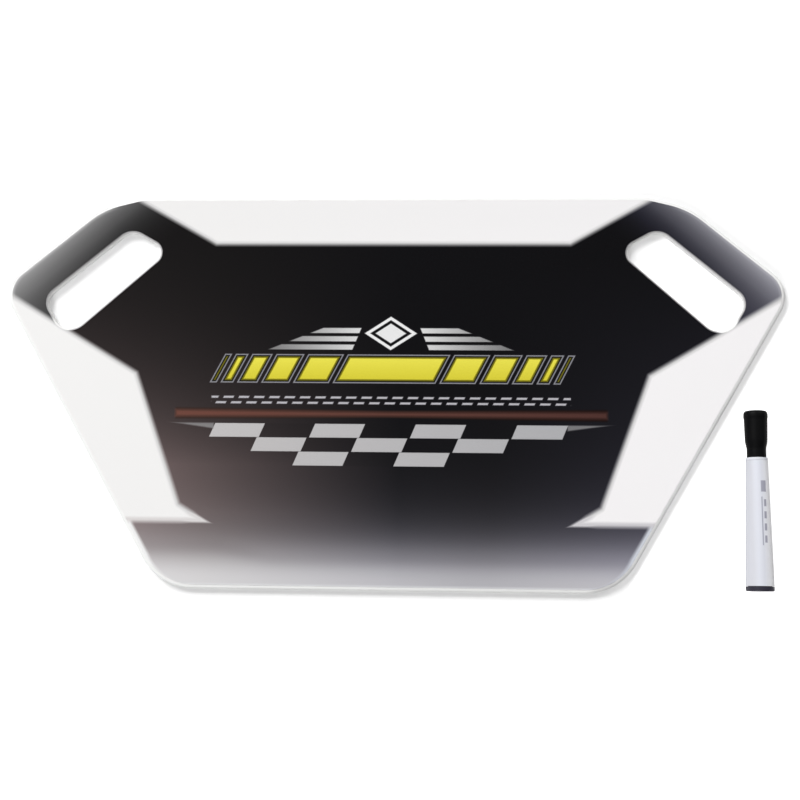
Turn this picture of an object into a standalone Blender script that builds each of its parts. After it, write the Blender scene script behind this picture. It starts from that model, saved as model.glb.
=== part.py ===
"""A pit board with its dry-erase marker.

The board is one stiff plastic sheet with a printed film and a clear film on its front and
a hand slot through each upper corner. It lies on its back with its front up and its top
edge towards +Y, centred on the origin. The capped marker lies beside its right-hand side.
"""
import math

import bmesh
import bpy
from mathutils import Matrix, Vector

MM = 0.001

# Sheet. Half widths are measured from the centre line to the corner where two straight
# edges would meet. Drops are measured from the top edge, so a taller sheet keeps its handles.
SHEET_THICKNESS = 6.0 * MM
SHEET_HEIGHT = 309.5 * MM
BOTTOM_HALF_WIDTH = 175.6 * MM
TIP_HALF_WIDTH = 312.0 * MM
TIP_DROP = 74.1 * MM
BEND_HALF_WIDTH = 232.9 * MM
BEND_DROP = 8.0 * MM
TOP_HALF_WIDTH = 200.7 * MM
BOTTOM_RADIUS = 46.0 * MM
TIP_RADIUS = 24.0 * MM
BEND_RADIUS = 65.0 * MM
TOP_RADIUS = 40.0 * MM
SHEET_EDGE_ROUND = 2.8 * MM

# Hand slots. Each slot lies inside the handle edge, which runs from the bend to the tip.
# Its outer side is the one beside that edge, and its ends slant away from the outer side.
GRIP_WIDTH = 29.8 * MM
SLOT_START = -6.8 * MM
SLOT_LENGTH = 88.9 * MM
SLOT_TOP_WIDTH = 33.05 * MM
SLOT_LOW_WIDTH = 36.6 * MM
SLOT_TOP_SLANT = 12.5 * MM
SLOT_LOW_SLANT = 5.6 * MM
SLOT_TOP_OUTER_RADIUS = 13.5 * MM
SLOT_TOP_INNER_RADIUS = 9.0 * MM
SLOT_LOW_INNER_RADIUS = 14.2 * MM
SLOT_LOW_OUTER_RADIUS = 11.9 * MM
SLOT_EDGE_ROUND = 1.2 * MM

# Films on the front. Both are trimmed short of the sheet's rounded edges.
FILM_MARGIN = 3.0 * MM
FILM_SLOT_MARGIN = 1.5 * MM
PRINT_THICKNESS = 0.2 * MM
OVERLAY_THICKNESS = 0.3 * MM
GLUE_LINE = 0.1 * MM

# Marker, along its own axis from the plug's end to the top of the cap.
FIT = 0.3 * MM
PLUG_FLANGE = 3.5 * MM
PLUG_EDGE_ROUND = 1.2 * MM
PLUG_DEPTH = 8.0 * MM
PLUG_CUP_DEPTH = 6.0 * MM
BARREL_LENGTH = 94.0 * MM
BARREL_BASE_RADIUS = 10.5 * MM
BARREL_MOUTH_RADIUS = 8.3 * MM
BARREL_WALL = 1.2 * MM
COLLAR_HEIGHT = 2.0 * MM
COLLAR_INSET = 0.15 * MM
SPIGOT_DEPTH = 10.0 * MM
NOSE_LENGTH = 12.0 * MM
CONE_BASE_RADIUS = 3.6 * MM
CONE_TIP_RADIUS = 2.9 * MM
CONE_LENGTH = 9.0 * MM
NIB_RADIUS = 2.0 * MM
NIB_REACH = 5.5 * MM
NIB_TIP_LENGTH = 2.4 * MM
NIB_TIP_RADIUS = 0.9 * MM
RESERVOIR_RADIUS = 6.0 * MM
RESERVOIR_SOCKET = 6.0 * MM

CAP_LENGTH = 35.4 * MM
CAP_NECK_RADIUS = 7.15 * MM
CAP_NECK_LENGTH = 6.9 * MM
CAP_STEP_LENGTH = 5.2 * MM
CAP_WAIST_RADIUS = 8.3 * MM
CAP_CROWN_RADIUS = 9.0 * MM
CAP_CROWN_HEIGHT = 2.2 * MM
CAP_TOP_RADIUS = 7.6 * MM
CAP_BORE_RADIUS = 5.7 * MM
CAP_ROOF = 2.0 * MM
LINER_WALL = 1.4 * MM
LINER_ROOF = 1.0 * MM

# Where the marker lies: parallel to the board's centre line, with its plug near the board's
# foot. The gap is the one between the cap's crown and the board's slanted side.
MARKER_FOOT = 4.0 * MM
MARKER_GAP = 13.7 * MM

# Fineness of the curves.
ARC_STEP = math.radians(9)
ROUND_STEPS = 3
TURNED_SIDES = 40
SHARP_ANGLE = math.radians(32)


def clear_scene():
    for item in list(bpy.data.objects):
        bpy.data.objects.remove(item)


def make_material(name, color, roughness, alpha=1.0):
    material = bpy.data.materials.new(name)
    material.use_nodes = True
    shader = material.node_tree.nodes["Principled BSDF"]
    shader.inputs["Base Color"].default_value = (*color, 1)
    shader.inputs["Roughness"].default_value = roughness
    shader.inputs["Metallic"].default_value = 0
    shader.inputs["Alpha"].default_value = alpha
    material.diffuse_color = (*color, alpha)
    return material


def add_object(name, bm, material, parent=None):
    bmesh.ops.recalc_face_normals(bm, faces=bm.faces)
    mesh = bpy.data.meshes.new(name)
    bm.to_mesh(mesh)
    bm.free()
    mesh.materials.append(material)
    mesh.shade_smooth()
    mesh.set_sharp_from_angle(angle=SHARP_ANGLE)
    item = bpy.data.objects.new(name, mesh)
    item.parent = parent
    bpy.context.scene.collection.objects.link(item)
    return item


# Flat outlines. A corner is (x, y, radius), and corners run anticlockwise.

def inset_corners(corners, inset):
    """Move every edge inwards by inset. A negative inset makes the outline larger."""
    moved = []
    for i, (x, y, radius) in enumerate(corners):
        here = Vector((x, y))
        before = Vector(corners[i - 1][:2])
        after = Vector(corners[(i + 1) % len(corners)][:2])
        arriving = (here - before).normalized()
        leaving = (after - here).normalized()
        inwards = Vector((-arriving.y - leaving.y, arriving.x + leaving.x))
        place = here + inwards * inset / (1 + arriving.dot(leaving))
        moved.append((place.x, place.y, radius - inset))
    return moved


def round_outline(corners):
    """Points of an outline whose corners are replaced by arcs."""
    points = []
    for i, (x, y, radius) in enumerate(corners):
        here = Vector((x, y))
        arriving = (here - Vector(corners[i - 1][:2])).normalized()
        leaving = (Vector(corners[(i + 1) % len(corners)][:2]) - here).normalized()
        turn = arriving.angle_signed(leaving)
        side = math.copysign(1, -turn)
        turn = abs(turn)
        start = here - arriving * radius * math.tan(turn / 2)
        centre = start + Vector((-arriving.y, arriving.x)) * radius * side
        steps = max(2, math.ceil(turn / ARC_STEP))
        for k in range(steps + 1):
            spoke = start - centre
            spoke.rotate(Matrix.Rotation(side * turn * k / steps, 2))
            points.append(centre + spoke)
    return points


def edge_levels(low, high, edge_round):
    """Heights and insets of the loops that make a plate's wall, from its underside up."""
    if edge_round == 0:
        return [(low, 0), (high, 0)]
    quarter = []
    for k in range(ROUND_STEPS + 1):
        angle = math.pi / 2 * k / ROUND_STEPS
        quarter.append((edge_round * (1 - math.cos(angle)), edge_round * (1 - math.sin(angle))))
    lower = [(low + rise, inset) for rise, inset in quarter]
    upper = [(high - rise, inset) for rise, inset in reversed(quarter)]
    return lower + upper


def make_plate(name, material, outline, holes, low, high, edge_round=0, hole_round=0):
    """A flat plate with through holes, whose edges may be rounded over."""
    bm = bmesh.new()
    underside = []
    top = []
    walls = [(outline, 1, edge_round)] + [(hole, -1, hole_round) for hole in holes]
    for corners, side, rounding in walls:
        loops = []
        for height, inset in edge_levels(low, high, rounding):
            points = round_outline(inset_corners(corners, side * inset))
            loops.append([bm.verts.new((p.x, p.y, height)) for p in points])
        count = len(loops[0])
        for lower, upper in zip(loops, loops[1:]):
            for i in range(count):
                j = (i + 1) % count
                bm.faces.new((lower[i], lower[j], upper[j], upper[i]))
        for loop, edges in ((loops[0], underside), (loops[-1], top)):
            edges += [bm.edges.get((loop[i - 1], loop[i])) for i in range(count)]
    for edges in (underside, top):
        bmesh.ops.triangle_fill(bm, edges=edges, use_beauty=True)
    return add_object(name, bm, material)


def make_turned(name, material, profile, parent):
    """A turned piece. Its profile is a closed loop of (radius, height), poles at radius 0."""
    bm = bmesh.new()
    rings = []
    for radius, height in profile:
        if radius == 0:
            rings.append([bm.verts.new((0, 0, height))] * TURNED_SIDES)
            continue
        angles = [math.tau * i / TURNED_SIDES for i in range(TURNED_SIDES)]
        rings.append([bm.verts.new((radius * math.cos(a), radius * math.sin(a), height))
                      for a in angles])
    for lower, upper in zip(rings, rings[1:] + rings[:1]):
        for i in range(TURNED_SIDES):
            j = (i + 1) % TURNED_SIDES
            corners = list(dict.fromkeys((lower[i], lower[j], upper[j], upper[i])))
            if len(corners) > 2:
                bm.faces.new(corners)
    return add_object(name, bm, material, parent)


def round_corner(before, corner, after, radius):
    """Points of an arc in a profile that replaces one corner."""
    here = Vector(corner)
    arriving = (here - Vector(before)).normalized()
    leaving = (Vector(after) - here).normalized()
    turn = arriving.angle(leaving)
    reach = radius * math.tan(turn / 2)
    start = here - arriving * reach
    end = here + leaving * reach
    centre = here + (leaving - arriving).normalized() * radius / math.cos(turn / 2)
    points = []
    for k in range(ROUND_STEPS + 1):
        spoke = start.lerp(end, k / ROUND_STEPS) - centre
        points.append(tuple(centre + spoke.normalized() * radius))
    return points


# Board

def sheet_corners():
    """The six straight edges of the sheet, with two more for the bends of the handles."""
    right = [
        (BOTTOM_HALF_WIDTH, 0, BOTTOM_RADIUS),
        (TIP_HALF_WIDTH, SHEET_HEIGHT - TIP_DROP, TIP_RADIUS),
        (BEND_HALF_WIDTH, SHEET_HEIGHT - BEND_DROP, BEND_RADIUS),
        (TOP_HALF_WIDTH, SHEET_HEIGHT, TOP_RADIUS),
    ]
    left = [(-x, y, radius) for x, y, radius in reversed(right)]
    return [(x, y - SHEET_HEIGHT / 2, radius) for x, y, radius in right + left]


def slot_corners(side):
    """One hand slot, measured along the handle edge from its bend and in from that edge."""
    top_y = SHEET_HEIGHT / 2
    bend = Vector((BEND_HALF_WIDTH, top_y - BEND_DROP))
    tip = Vector((TIP_HALF_WIDTH, top_y - TIP_DROP))
    along = (tip - bend).normalized()
    inwards = Vector((along.y, -along.x))
    end = SLOT_START + SLOT_LENGTH
    top_inner = GRIP_WIDTH + SLOT_TOP_WIDTH
    low_inner = GRIP_WIDTH + SLOT_LOW_WIDTH
    places = [
        (SLOT_START, GRIP_WIDTH, SLOT_TOP_OUTER_RADIUS),
        (SLOT_START - SLOT_TOP_SLANT, top_inner, SLOT_TOP_INNER_RADIUS),
        (end + SLOT_LOW_SLANT, low_inner, SLOT_LOW_INNER_RADIUS),
        (end, GRIP_WIDTH, SLOT_LOW_OUTER_RADIUS),
    ]
    corners = []
    for u, v, radius in places:
        place = bend + along * u + inwards * v
        corners.append((side * place.x, place.y, radius))
    return corners if side > 0 else corners[::-1]


def make_board():
    white = make_material("sheet_plastic", (0.86, 0.86, 0.85), 0.35)
    ink = make_material("printed_film", (0.02, 0.02, 0.022), 0.4)
    gloss = make_material("clear_film", (0.9, 0.92, 0.94), 0.12, alpha=0.2)
    outline = sheet_corners()
    slots = [slot_corners(1), slot_corners(-1)]
    make_plate("core_sheet", white, outline, slots, 0, SHEET_THICKNESS,
               SHEET_EDGE_ROUND, SLOT_EDGE_ROUND)
    film_outline = inset_corners(outline, FILM_MARGIN)
    film_slots = [inset_corners(slot, -FILM_SLOT_MARGIN) for slot in slots]
    print_low = SHEET_THICKNESS + GLUE_LINE
    print_high = print_low + PRINT_THICKNESS
    make_plate("front_graphic", ink, film_outline, film_slots, print_low, print_high)
    overlay_low = print_high + GLUE_LINE
    overlay_high = overlay_low + OVERLAY_THICKNESS
    make_plate("clear_overlay", gloss, film_outline, film_slots, overlay_low, overlay_high)


# Marker

BARREL_BASE = PLUG_FLANGE
BARREL_MOUTH = BARREL_BASE + BARREL_LENGTH
COLLAR_TOP = BARREL_MOUTH + FIT + COLLAR_HEIGHT
NOSE_TOP = COLLAR_TOP + NOSE_LENGTH
CONE_TOP = NOSE_TOP + CONE_LENGTH
SPIGOT_FOOT = BARREL_MOUTH - SPIGOT_DEPTH
CAP_MOUTH = COLLAR_TOP + FIT
CAP_TOP = CAP_MOUTH + CAP_LENGTH


def bore_radius(height):
    """Inner radius of the tapered barrel at a height along the marker."""
    share = (height - BARREL_BASE) / BARREL_LENGTH
    outer = BARREL_BASE_RADIUS + (BARREL_MOUTH_RADIUS - BARREL_BASE_RADIUS) * share
    return outer - BARREL_WALL


def side_half_width(height):
    """Half width of the sheet between its slanted sides, at a height above its foot."""
    share = height / (SHEET_HEIGHT - TIP_DROP)
    return BOTTOM_HALF_WIDTH + (TIP_HALF_WIDTH - BOTTOM_HALF_WIDTH) * share


def make_marker_axis():
    """The marker rests on its plug and on the crown of its cap, so its axis dips a little."""
    reach = CAP_TOP - CAP_CROWN_HEIGHT - PLUG_EDGE_ROUND
    dip = math.atan((BARREL_BASE_RADIUS - CAP_CROWN_RADIUS) / reach)
    height = BARREL_BASE_RADIUS * math.cos(dip) + PLUG_EDGE_ROUND * math.sin(dip)
    beside = side_half_width(MARKER_FOOT + CAP_TOP) + MARKER_GAP + CAP_CROWN_RADIUS
    axis = bpy.data.objects.new("marker_axis", None)
    axis.location = (beside, MARKER_FOOT - SHEET_HEIGHT / 2, height)
    axis.rotation_euler = (-math.pi / 2 - dip, 0, 0)
    bpy.context.scene.collection.objects.link(axis)
    return axis


def make_barrel(axis):
    pale = make_material("barrel_plastic", (0.72, 0.74, 0.8), 0.3)
    base = BARREL_BASE + FIT
    profile = [
        (BARREL_BASE_RADIUS, base),
        (BARREL_MOUTH_RADIUS, BARREL_MOUTH),
        (bore_radius(BARREL_MOUTH), BARREL_MOUTH),
        (bore_radius(base), base),
    ]
    make_turned("marker_barrel", pale, profile, axis)


def make_end_plug(axis):
    dark = make_material("plug_plastic", (0.03, 0.028, 0.045), 0.4)
    rim = PLUG_FLANGE + PLUG_DEPTH
    spigot_radius = bore_radius(rim) - FIT
    cup_radius = RESERVOIR_RADIUS + FIT
    floor = rim - PLUG_CUP_DEPTH
    heel = (BARREL_BASE_RADIUS, 0)
    profile = [(0, 0)]
    profile += round_corner((0, 0), heel, (BARREL_BASE_RADIUS, PLUG_FLANGE), PLUG_EDGE_ROUND)
    profile += [
        (BARREL_BASE_RADIUS, PLUG_FLANGE),
        (spigot_radius, PLUG_FLANGE),
        (spigot_radius, rim),
        (cup_radius, rim),
        (cup_radius, floor),
        (0, floor),
    ]
    make_turned("marker_end_plug", dark, profile, axis)


def make_nose(axis):
    grey = make_material("nose_plastic", (0.8, 0.81, 0.84), 0.35)
    spigot_radius = bore_radius(BARREL_MOUTH) - FIT
    collar_radius = BARREL_MOUTH_RADIUS - COLLAR_INSET
    nib_bore = NIB_RADIUS + FIT
    collar_foot = BARREL_MOUTH + FIT
    profile = [
        (nib_bore, SPIGOT_FOOT),
        (spigot_radius, SPIGOT_FOOT),
        (spigot_radius, collar_foot),
        (collar_radius, collar_foot),
        (collar_radius, COLLAR_TOP),
        (CAP_BORE_RADIUS - FIT, COLLAR_TOP),
        (CAP_BORE_RADIUS - FIT, NOSE_TOP),
        (CONE_BASE_RADIUS, NOSE_TOP),
        (CONE_TIP_RADIUS, CONE_TOP),
        (nib_bore, CONE_TOP),
    ]
    make_turned("marker_nose", grey, profile, axis)


def make_nib(axis):
    felt = make_material("nib_felt", (0.02, 0.02, 0.025), 0.95)
    top = CONE_TOP + NIB_REACH
    foot = SPIGOT_FOOT - RESERVOIR_SOCKET
    profile = [
        (0, foot),
        (NIB_RADIUS, foot),
        (NIB_RADIUS, top - NIB_TIP_LENGTH),
        (NIB_TIP_RADIUS, top),
        (0, top),
    ]
    make_turned("marker_nib", felt, profile, axis)


def make_reservoir(axis):
    fibre = make_material("reservoir_fibre", (0.06, 0.06, 0.07), 0.9)
    foot = PLUG_FLANGE + PLUG_DEPTH - PLUG_CUP_DEPTH + FIT
    top = SPIGOT_FOOT - FIT
    socket_radius = NIB_RADIUS + FIT
    socket_floor = SPIGOT_FOOT - RESERVOIR_SOCKET - FIT
    profile = [
        (0, foot),
        (RESERVOIR_RADIUS, foot),
        (RESERVOIR_RADIUS, top),
        (socket_radius, top),
        (socket_radius, socket_floor),
        (0, socket_floor),
    ]
    make_turned("marker_reservoir", fibre, profile, axis)


def make_cap(axis):
    black = make_material("cap_plastic", (0.008, 0.008, 0.009), 0.25)
    neck_top = CAP_MOUTH + CAP_NECK_LENGTH
    waist = neck_top + CAP_STEP_LENGTH
    crown = CAP_TOP - CAP_CROWN_HEIGHT
    ceiling = CAP_TOP - CAP_ROOF
    profile = [
        (CAP_NECK_RADIUS, CAP_MOUTH),
        (CAP_NECK_RADIUS, neck_top),
        (CAP_WAIST_RADIUS, waist),
        (CAP_CROWN_RADIUS, crown),
    ]
    for k in range(1, ROUND_STEPS + 1):
        angle = math.pi / 2 * k / ROUND_STEPS
        shrink = (CAP_CROWN_RADIUS - CAP_TOP_RADIUS) * (1 - math.cos(angle))
        profile.append((CAP_CROWN_RADIUS - shrink, crown + CAP_CROWN_HEIGHT * math.sin(angle)))
    profile += [
        (0, CAP_TOP),
        (0, ceiling),
        (CAP_BORE_RADIUS, ceiling),
        (CAP_BORE_RADIUS, CAP_MOUTH),
    ]
    make_turned("marker_cap", black, profile, axis)


def make_cap_liner(axis):
    grey = make_material("liner_plastic", (0.5, 0.5, 0.52), 0.5)
    outer = CAP_BORE_RADIUS - FIT
    inner = outer - LINER_WALL
    foot = NOSE_TOP + FIT
    top = CAP_TOP - CAP_ROOF - FIT
    ceiling = top - LINER_ROOF
    profile = [
        (outer, foot),
        (outer, top),
        (0, top),
        (0, ceiling),
        (inner, ceiling),
        (inner, foot),
    ]
    make_turned("marker_cap_liner", grey, profile, axis)


def make_marker():
    axis = make_marker_axis()
    make_barrel(axis)
    make_end_plug(axis)
    make_nose(axis)
    make_nib(axis)
    make_reservoir(axis)
    make_cap(axis)
    make_cap_liner(axis)


clear_scene()
make_board()
make_marker()
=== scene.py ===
import math

import bmesh
import bpy
import numpy as np
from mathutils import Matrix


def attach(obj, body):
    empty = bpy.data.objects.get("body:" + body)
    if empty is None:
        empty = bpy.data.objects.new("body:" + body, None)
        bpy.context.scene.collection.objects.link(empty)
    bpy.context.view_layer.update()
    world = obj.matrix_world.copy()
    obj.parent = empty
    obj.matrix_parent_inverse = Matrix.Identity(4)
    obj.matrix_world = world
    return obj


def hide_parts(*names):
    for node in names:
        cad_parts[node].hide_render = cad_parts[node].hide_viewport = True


# Looks of a pit board and its dry-erase marker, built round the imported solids.
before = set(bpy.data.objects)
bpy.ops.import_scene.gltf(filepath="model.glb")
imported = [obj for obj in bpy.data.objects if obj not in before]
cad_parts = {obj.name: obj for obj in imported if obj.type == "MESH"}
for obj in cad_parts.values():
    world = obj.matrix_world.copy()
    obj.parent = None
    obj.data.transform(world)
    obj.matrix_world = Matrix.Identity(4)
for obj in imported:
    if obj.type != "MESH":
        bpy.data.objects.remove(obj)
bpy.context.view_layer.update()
mm = 0.001


def say(words):
    print("pit board:", words)


cameraView = {
    "place": (0.0616, -0.1523, 1.0),
    "turn": (8.292, 2.954, 0.838),      # degrees about X, Y and Z
    "lens": 58.41,
}


def addCamera(view):
    data = bpy.data.cameras.new("photoCamera")
    data.lens = view["lens"]
    data.sensor_width = 36
    data.clip_start = 0.01
    camera = bpy.data.objects.new("photoCamera", data)
    camera.location = view["place"]
    camera.rotation_euler = [math.radians(angle) for angle in view["turn"]]
    bpy.context.scene.collection.objects.link(camera)
    bpy.context.scene.camera = camera


addCamera(cameraView)
bpy.context.scene.view_settings.view_transform = "Standard"
say("camera set")


class Val:
    # a shader value that takes part in Python sums: each sum adds one Math node
    def __init__(self, look, socket):
        self.look = look
        self.socket = socket

    def math(self, operation, first, second=0.0, clamp=False):
        made = self.look.node("ShaderNodeMath", {"operation": operation, "use_clamp": clamp},
                              {0: first, 1: second})
        return Val(self.look, made.outputs[0])

    def __add__(self, other):
        return self.math("ADD", self, other)

    __radd__ = __add__

    def __mul__(self, other):
        return self.math("MULTIPLY", self, other)

    __rmul__ = __mul__

    def __sub__(self, other):
        return self.math("SUBTRACT", self, other)

    def __rsub__(self, other):
        return self.math("SUBTRACT", other, self)

    def __truediv__(self, other):
        return self.math("DIVIDE", self, other)

    def __rtruediv__(self, other):
        return self.math("DIVIDE", other, self)

    def __pow__(self, other):
        return self.math("POWER", self, other)

    def __mod__(self, other):
        return self.math("FLOORED_MODULO", self, other)

    def __abs__(self):
        return self.math("ABSOLUTE", self)

    def least(self, other):
        return self.math("MINIMUM", self, other)

    def most(self, other):
        return self.math("MAXIMUM", self, other)

    def floor(self):
        return self.math("FLOOR", self)

    def exp(self):
        return self.math("EXPONENT", self)

    def above(self, limit):
        return self.math("GREATER_THAN", self, limit)

    def ramp(self, start, end):
        # 0 up to start, 1 from end on, straight between them; end may be the smaller one
        return self.math("MULTIPLY", self - start, 1 / (end - start), clamp=True)

    def inside(self, soft):
        # 1 where the distance is positive, 0 where it is negative, over a soft step
        return self.math("ADD", self / soft, 0.5, clamp=True)


class Look:
    # one material, its shader and the nodes that feed it
    def __init__(self, name, **fixed):
        self.material = bpy.data.materials.new(name)
        self.material.use_nodes = True
        self.tree = self.material.node_tree
        self.shader = self.tree.nodes["Principled BSDF"]
        for socket, value in fixed.items():
            self.feed(self.shader.inputs[socket.replace("_", " ")], value)

    def feed(self, socket, value):
        if isinstance(value, Val):
            self.tree.links.new(value.socket, socket)
        elif isinstance(value, bpy.types.NodeSocket):
            self.tree.links.new(value, socket)
        else:
            socket.default_value = value

    def node(self, kind, settings=None, sockets=None):
        made = self.tree.nodes.new(kind)
        for key, value in (settings or {}).items():
            setattr(made, key, value)
        for key, value in (sockets or {}).items():
            self.feed(made.inputs[key], value)
        return made

    def place(self):
        # the piece's own coordinates, in metres
        return self.node("ShaderNodeTexCoord").outputs["Object"]

    def xyz(self):
        # the same one by one, in millimetres
        apart = self.node("ShaderNodeSeparateXYZ", None, {0: self.place()})
        return [Val(self, socket) * 1000 for socket in apart.outputs]

    def stretched(self, x, y, z):
        # the same with one scale for each direction
        settings = {"Vector": self.place(), "Scale": (x, y, z)}
        return self.node("ShaderNodeMapping", None, settings).outputs[0]

    def noise(self, scale, detail=2.0, roughness=0.5, vector=None):
        settings = {"Vector": vector or self.place(), "Scale": scale, "Detail": detail,
                    "Roughness": roughness}
        made = self.node("ShaderNodeTexNoise", None, settings)
        return Val(self, made.outputs["Fac"])

    def color(self, red, green, blue):
        return self.node("ShaderNodeCombineColor", None, {0: red, 1: green, 2: blue}).outputs[0]

    def mix(self, share, first, second):
        # a colour given as three numbers holds screen levels
        first, second = [screen(*tone) if isinstance(tone, tuple) and len(tone) == 3 else tone
                         for tone in (first, second)]
        made = self.node("ShaderNodeMix", {"data_type": "RGBA"}, {0: share, 6: first, 7: second})
        return made.outputs[2]

    def ink(self, displayed):
        # a colour given as it looks on a screen, made linear
        return self.node("ShaderNodeGamma", None, {"Color": displayed, "Gamma": 2.2}).outputs[0]

    def bump(self, height, strength, distance):
        made = self.node("ShaderNodeBump", None,
                         {"Height": height, "Strength": strength, "Distance": distance})
        self.feed(self.shader.inputs["Normal"], made.outputs[0])

    def put(self, socket, value):
        self.feed(self.shader.inputs[socket], value)

    def paint(self, displayed):
        self.put("Base Color", self.ink(displayed))

    def rough(self, settings, share):
        self.put("Roughness", settings["roughness"] + share * settings["roughnessSpread"])


def screen(red, green, blue):
    # screen levels 0 to 255 as an opaque colour between 0 and 1
    return (red / 255, green / 255, blue / 255, 1)


def gridFaces(rows, columns, closeRows=False, closeColumns=False):
    # quads (i, j), (i, j+1), (i+1, j+1), (i+1, j) over a grid of rows by columns points
    i = np.arange(rows if closeRows else rows - 1)[:, None]
    j = np.arange(columns if closeColumns else columns - 1)[None, :]
    nextI = (i + 1) % rows
    nextJ = (j + 1) % columns
    corners = [i * columns + j, i * columns + nextJ, nextI * columns + nextJ, nextI * columns + j]
    return np.stack([np.broadcast_to(c, (i.size, j.size)) for c in corners], -1).reshape(-1, 4)


def meshOf(name, points, faces):
    mesh = bpy.data.meshes.new(name)
    mesh.vertices.add(len(points))
    mesh.vertices.foreach_set("co", points.astype(np.float32).ravel())
    mesh.loops.add(faces.size)
    mesh.loops.foreach_set("vertex_index", faces.astype(np.int32).ravel())
    mesh.polygons.add(len(faces))
    starts = np.arange(len(faces), dtype=np.int32) * faces.shape[1]
    mesh.polygons.foreach_set("loop_start", starts)
    mesh.update(calc_edges=True)
    return mesh


def finishMesh(mesh, sharpAngle, flatEnds=False):
    # closes poles and seams, fills the open rims if asked, and turns all faces outwards
    hair = 1e-7
    bm = bmesh.new()
    bm.from_mesh(mesh)
    bmesh.ops.remove_doubles(bm, verts=bm.verts, dist=hair)
    if flatEnds:
        for level in (min, max):
            height = level(vertex.co.z for vertex in bm.verts)
            rim = [edge for edge in bm.edges if edge.is_boundary
                   and abs(edge.verts[0].co.z - height) < hair]
            bmesh.ops.triangle_fill(bm, edges=rim, use_beauty=True)
            for edge in rim:
                edge.smooth = False
    bmesh.ops.recalc_face_normals(bm, faces=bm.faces)
    for face in bm.faces:
        face.smooth = True
    for edge in bm.edges:
        if len(edge.link_faces) == 2 and edge.calc_face_angle(0) > sharpAngle:
            edge.smooth = False
    bm.to_mesh(mesh)
    bm.free()


def addPiece(name, mesh, look, body, node):
    mesh.materials.append(look.material)
    piece = bpy.data.objects.new(name, mesh)
    bpy.context.scene.collection.objects.link(piece)
    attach(piece, body)
    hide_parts(node)


# the board's outline, hand slots and edges, in millimetres
boardShape = {
    "height": 309.5,
    # half width, height above the foot and corner radius of each corner of the right half
    "corners": ((175.6, 0, 46), (312.0, 235.4, 24), (232.9, 301.5, 65), (200.7, 309.5, 40)),
    "edgeRound": 2.8, "slotEdgeRound": 1.2,
    # distance along the handle edge from its bend, distance in from that edge, radius
    "slot": ((-6.8, 29.8, 13.5), (-19.3, 62.85, 9.0), (87.7, 66.4, 14.2), (82.1, 29.8, 11.9)),
    "filmMargin": 3.0, "slotMargin": 1.5,
    "arcSteps": 24, "roundSteps": 8, "sharpAngle": 40,
}
halfHeight = boardShape["height"] / 2
handleBend = np.array(boardShape["corners"][2][:2])
handleTip = np.array(boardShape["corners"][1][:2])
handleLength = np.hypot(*(handleTip - handleBend))
handleAlong = (handleTip - handleBend) / handleLength
handleInwards = np.array([handleAlong[1], -handleAlong[0]])


def turnAt(before, corner, after):
    # angle that the outline turns through at a corner
    arriving, leaving = [np.subtract(end[:2], start[:2])
                         for start, end in ((before, corner), (corner, after))]
    return math.acos(arriving @ leaving / np.hypot(*arriving) / np.hypot(*leaving))


handleTurns = (turnAt(*boardShape["corners"][1:]), turnAt(*boardShape["corners"][:3]))


def boardCorners():
    right = np.array(boardShape["corners"], float)
    left = right[::-1] * (-1, 1, 1)
    return np.vstack([right, left]) - (0, halfHeight, 0)


def slotCorners(side):
    cells = np.array(boardShape["slot"], float)
    places = handleBend + cells[:, :1] * handleAlong + cells[:, 1:2] * handleInwards
    places[:, 0] *= side
    places[:, 1] -= halfHeight
    corners = np.column_stack([places, cells[:, 2]])
    return corners if side > 0 else corners[::-1]


def roundPath(corners, inset=0.0):
    # each corner becomes an arc: point = centre + radius * (cos a, sin a), while a runs from the
    # arriving side's normal to the leaving side's; an inset path keeps the centres
    here = corners[:, :2]
    arriving = here - np.roll(here, 1, 0)
    arriving /= np.hypot(*arriving.T)[:, None]
    leaving = np.roll(arriving, -1, 0)
    turn = np.arctan2(arriving[:, 0] * leaving[:, 1] - arriving[:, 1] * leaving[:, 0],
                      (arriving * leaving).sum(1))
    radius = corners[:, 2]
    start = here - arriving * (radius * np.tan(turn / 2))[:, None]
    centre = start + np.stack([-arriving[:, 1], arriving[:, 0]], 1) * radius[:, None]
    first = np.arctan2(-arriving[:, 0], arriving[:, 1])
    share = np.linspace(0, 1, boardShape["arcSteps"] + 1)
    angle = first[:, None] + turn[:, None] * share
    out = np.stack([np.cos(angle), np.sin(angle)], -1)
    points = centre[:, None] + out * (radius - inset)[:, None, None]
    return points.reshape(-1, 2), out.reshape(-1, 2)


def plateProfile(low, high, edgeRound):
    # (inset, height) from the underside up: a quarter round, the straight wall, a quarter round
    if edgeRound == 0:
        return np.array([(0, low), (0, high)], float)
    angle = np.linspace(0, math.pi / 2, boardShape["roundSteps"] + 1)
    inset = edgeRound * (1 - np.sin(angle))
    rise = edgeRound * (1 - np.cos(angle))
    lower = np.stack([inset, low + rise], 1)
    upper = np.stack([inset[::-1], high - rise[::-1]], 1)
    return np.vstack([lower, upper])


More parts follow.
